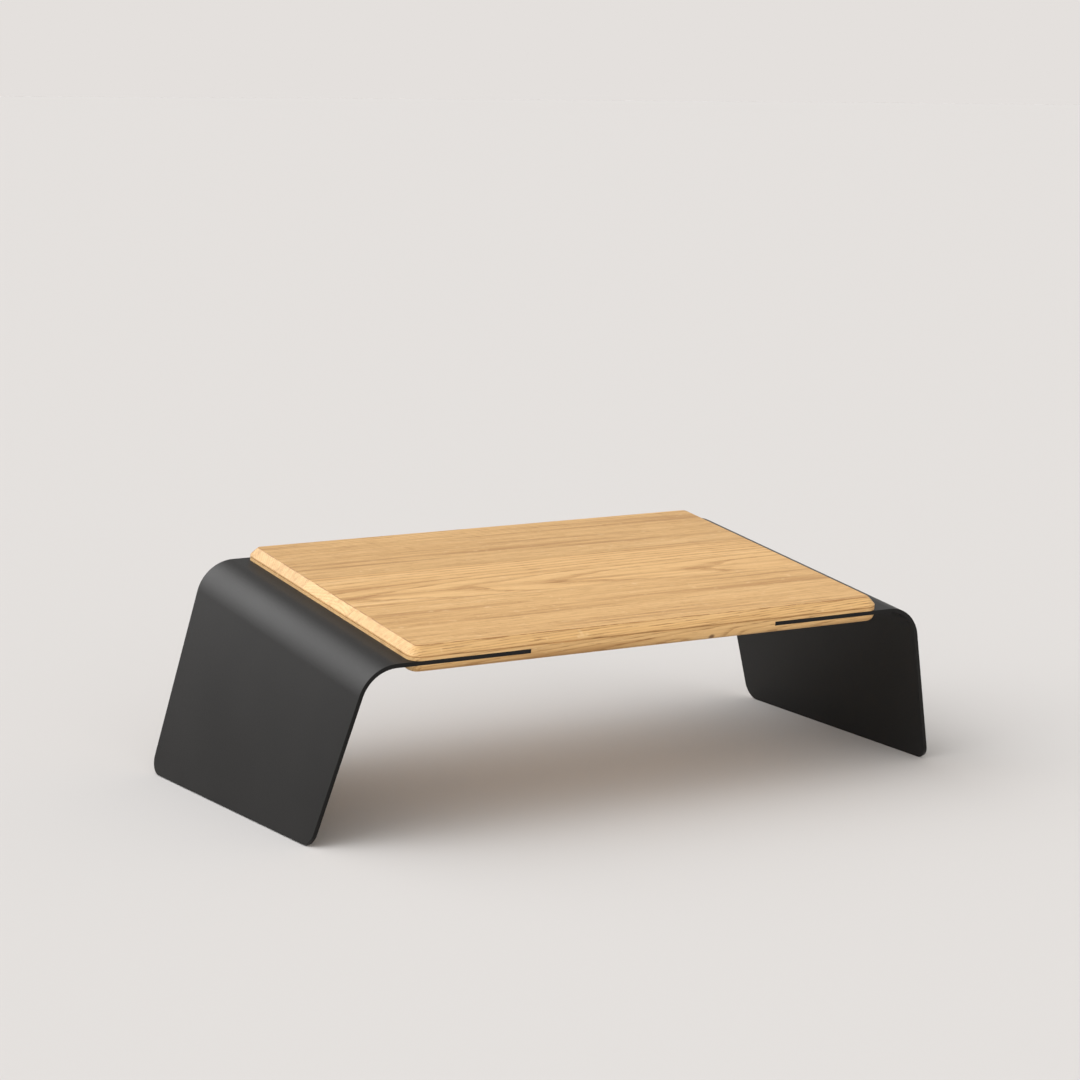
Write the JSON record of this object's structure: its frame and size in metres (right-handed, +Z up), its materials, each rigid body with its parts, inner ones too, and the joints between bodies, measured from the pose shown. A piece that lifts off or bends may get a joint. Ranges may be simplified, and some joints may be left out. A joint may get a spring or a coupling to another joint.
{
  "type": "laptop stand",
  "caption": "Desk stand for a laptop: a sloping oak board with bent sheet-steel side legs held in slots in its ends.",
  "frame": {"origin": "on the desk, under the middle of the whole stand", "axes": "+X to the right as the user sits, +Y towards the raised back edge, +Z up"},
  "size_m": [0.4864, 0.2456, 0.1497],
  "materials": {
    "leg_steel": "satin dark-grey powder coat",
    "oak": "clear matt oil",
    "screw_steel": "bright zinc"
  },
  "bodies": {
    "root": {"left_leg": "leg_steel", "right_leg": "leg_steel", "front_stave": "oak", "middle_stave": "oak", "back_stave": "oak", "left_leg_screws": "screw_steel", "right_leg_screws": "screw_steel"}
  },
  "joints": []
}
